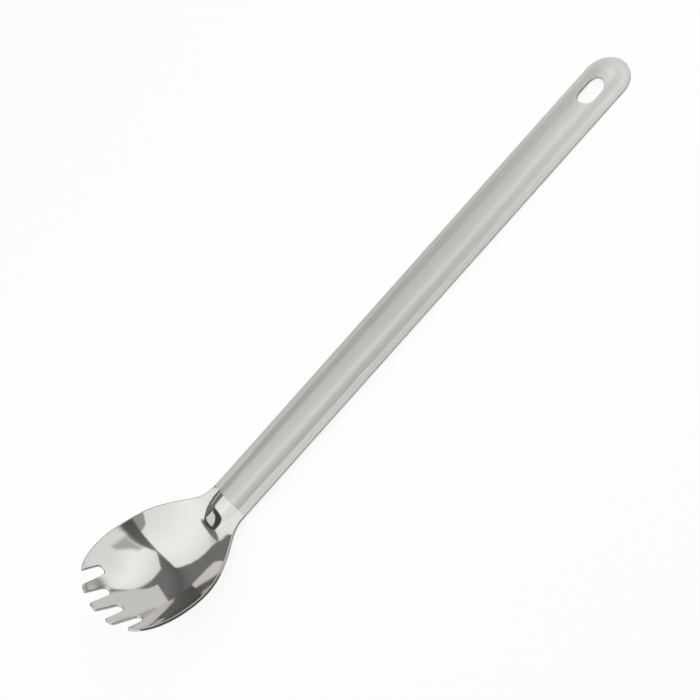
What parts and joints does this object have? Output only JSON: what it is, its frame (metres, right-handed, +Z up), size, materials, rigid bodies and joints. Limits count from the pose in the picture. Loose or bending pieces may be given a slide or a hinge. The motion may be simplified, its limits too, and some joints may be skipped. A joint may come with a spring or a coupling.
{
  "type": "spork",
  "caption": "Long-handled camping spork stamped from sheet titanium, with a polished tined bowl, a bead-blasted ribbed handle and a hanging slot",
  "frame": {"origin": "middle of the footprint, on the table that the spork rests on with its bowl opening up", "axes": "+X along the handle from the tines to the hanging slot, +Z up out of the bowl, Y across the bowl"},
  "size_m": [0.2146, 0.0384, 0.0191],
  "materials": {
    "polished_titanium": "polished titanium",
    "blasted_titanium": "bead-blasted titanium"
  },
  "bodies": {
    "root": {"bowl": "polished_titanium", "handle": "blasted_titanium"}
  },
  "joints": []
}
